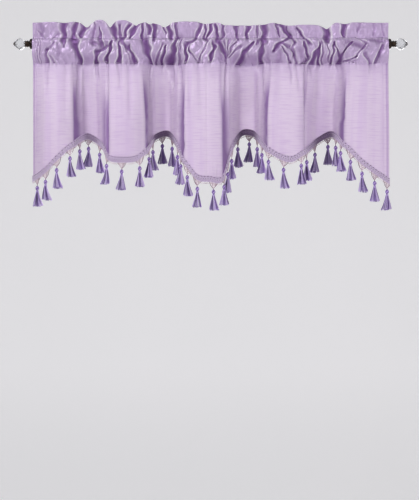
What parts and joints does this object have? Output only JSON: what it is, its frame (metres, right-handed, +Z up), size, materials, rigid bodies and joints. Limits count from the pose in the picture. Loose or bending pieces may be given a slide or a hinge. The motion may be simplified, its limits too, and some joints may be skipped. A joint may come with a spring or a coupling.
{
  "type": "scalloped tassel valance on curtain rod",
  "caption": "Gathered rod-pocket valance in thin lilac faux silk on a slim rod with faceted finials; scalloped hem edged with gimp braid, open thread net and tassels.",
  "frame": {"origin": "on the rod's axis at the middle of its length", "axes": "+X along the rod to the viewer's right, +Z up, the front of the cloth faces -Y"},
  "size_m": [0.9676, 0.1294, 0.4698],
  "materials": {
    "silk": "thin slubbed faux silk, soft sheen",
    "gimp": "woven mauve-grey braid",
    "floss": "rayon tassel threads",
    "tube": "dark satin",
    "bronze": "dark bronze, satin",
    "crystal": "clear faceted"
  },
  "bodies": {
    "root": {"valance_panel": "silk", "fringe_braid": "gimp", "tassel_01": "floss", "tassel_02": "floss", "tassel_03": "floss", "tassel_04": "floss", "tassel_05": "floss", "tassel_06": "floss", "tassel_07": "floss", "tassel_08": "floss", "tassel_09": "floss", "tassel_10": "floss", "tassel_11": "floss", "tassel_12": "floss", "tassel_13": "floss", "tassel_14": "floss", "tassel_15": "floss", "tassel_16": "floss", "tassel_17": "floss", "tassel_18": "floss", "tassel_19": "floss", "tassel_20": "floss", "tassel_21": "floss", "tassel_22": "floss", "tassel_23": "floss", "tassel_24": "floss", "tassel_25": "floss", "tassel_26": "floss", "tassel_27": "floss", "tassel_28": "floss", "tassel_29": "floss", "tassel_30": "floss", "tassel_31": "floss", "tassel_32": "floss", "tassel_33": "floss", "tassel_34": "floss", "tassel_35": "floss", "tassel_36": "floss", "tassel_37": "floss", "tassel_38": "floss", "rod": "tube", "collar_left": "bronze", "collar_right": "bronze", "finial_left": "crystal", "finial_right": "crystal"}
  },
  "joints": []
}
